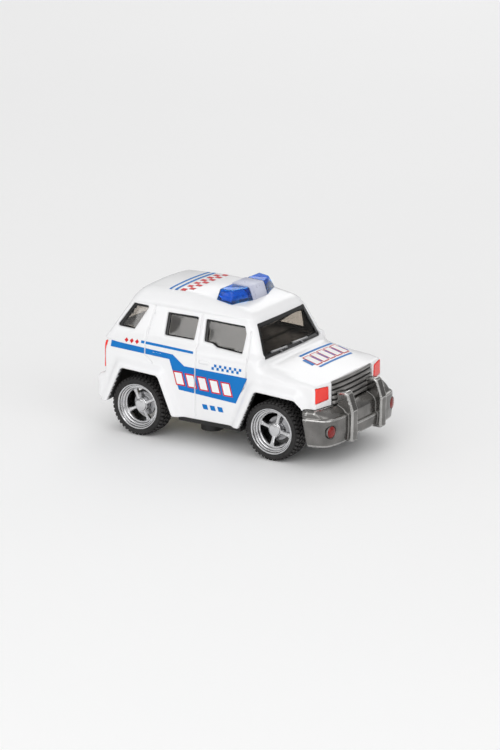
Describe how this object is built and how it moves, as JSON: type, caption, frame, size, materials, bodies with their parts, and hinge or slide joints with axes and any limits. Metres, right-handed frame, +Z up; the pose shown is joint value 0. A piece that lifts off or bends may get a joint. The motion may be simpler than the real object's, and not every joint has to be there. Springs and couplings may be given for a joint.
{
  "type": "toy police car",
  "caption": "Toy police off-road car: die-cast shell with tinted windows, roof light bar and front overriders, on turning spoked wheels driven by a geared pull-back motor.",
  "frame": {"origin": "on the ground under the middle of the car's length and width", "axes": "+X towards the front bumper, +Y towards the car's left side, +Z up"},
  "size_m": [0.1068, 0.0534, 0.0603],
  "materials": {
    "body_paint": "gloss white enamel with printed blue stripes",
    "tinted_glass": "smoke-tinted clear plastic",
    "interior_plastic": "matt dark grey",
    "base_plastic": "satin black",
    "screw_steel": "bright zinc",
    "gunmetal_plastic": "dark silver lacquer",
    "red_lens": "clear red",
    "silver_plastic": "silver lacquer",
    "blue_lens": "clear blue",
    "frosted_lens": "frosted clear",
    "axle_steel": "bright",
    "rim_chrome": "bright plated plastic",
    "tyre_rubber": "matt black",
    "disc_silver": "satin",
    "motor_plastic": "natural",
    "gear_plastic": "natural white",
    "spring_steel": "blued"
  },
  "bodies": {
    "car": {"body_shell": "body_paint", "glazing": "tinted_glass", "interior_tub": "interior_plastic", "chassis_base": "base_plastic", "base_screws": "screw_steel", "front_bumper": "gunmetal_plastic", "front_grille": "gunmetal_plastic", "headlamp_right": "red_lens", "headlamp_left": "red_lens", "fog_lamp_right": "red_lens", "fog_lamp_left": "red_lens", "tail_lamp_right": "red_lens", "tail_lamp_left": "red_lens", "light_bar_base": "silver_plastic", "light_lens_right": "blue_lens", "light_lens_left": "blue_lens", "light_lens_centre": "frosted_lens", "motor_case_right": "motor_plastic", "motor_case_left": "motor_plastic", "idler_pin": "axle_steel", "mainspring": "spring_steel"},
    "front_wheels": {"front_axle": "axle_steel", "rim_front_right": "rim_chrome", "rim_front_left": "rim_chrome", "tyre_front_right": "tyre_rubber", "tyre_front_left": "tyre_rubber", "brake_disc_front_right": "disc_silver", "brake_disc_front_left": "disc_silver"},
    "rear_wheels": {"rear_axle": "axle_steel", "rim_rear_right": "rim_chrome", "rim_rear_left": "rim_chrome", "tyre_rear_right": "tyre_rubber", "tyre_rear_left": "tyre_rubber", "brake_disc_rear_right": "disc_silver", "brake_disc_rear_left": "disc_silver", "axle_gear": "gear_plastic"},
    "idler": {"idler_gear": "gear_plastic"},
    "spring_arbor": {"spring_gear": "gear_plastic"}
  },
  "joints": [
    {"name": "front_wheels_roll", "type": "hinge", "parent": "car", "child": "front_wheels", "pos_m": [0.02525, 0, 0.0115], "axis": [0, 1, 0], "continuous": true},
    {"name": "rear_wheels_roll", "type": "hinge", "parent": "car", "child": "rear_wheels", "pos_m": [-0.03475, 0, 0.0115], "axis": [0, 1, 0], "continuous": true},
    {"name": "idler_turn", "type": "hinge", "parent": "car", "child": "idler", "pos_m": [-0.02893, 0, 0.01557], "axis": [0, 1, 0], "continuous": true},
    {"name": "spring_turn", "type": "hinge", "parent": "car", "child": "spring_arbor", "pos_m": [-0.01834, 0, 0.0152], "axis": [0, 1, 0], "continuous": true}
  ],
  "couplings": [
    {"joint": "idler_turn", "follows": "rear_wheels_roll", "ratio": -0.75},
    {"joint": "spring_turn", "follows": "rear_wheels_roll", "ratio": 0.46154}
  ]
}
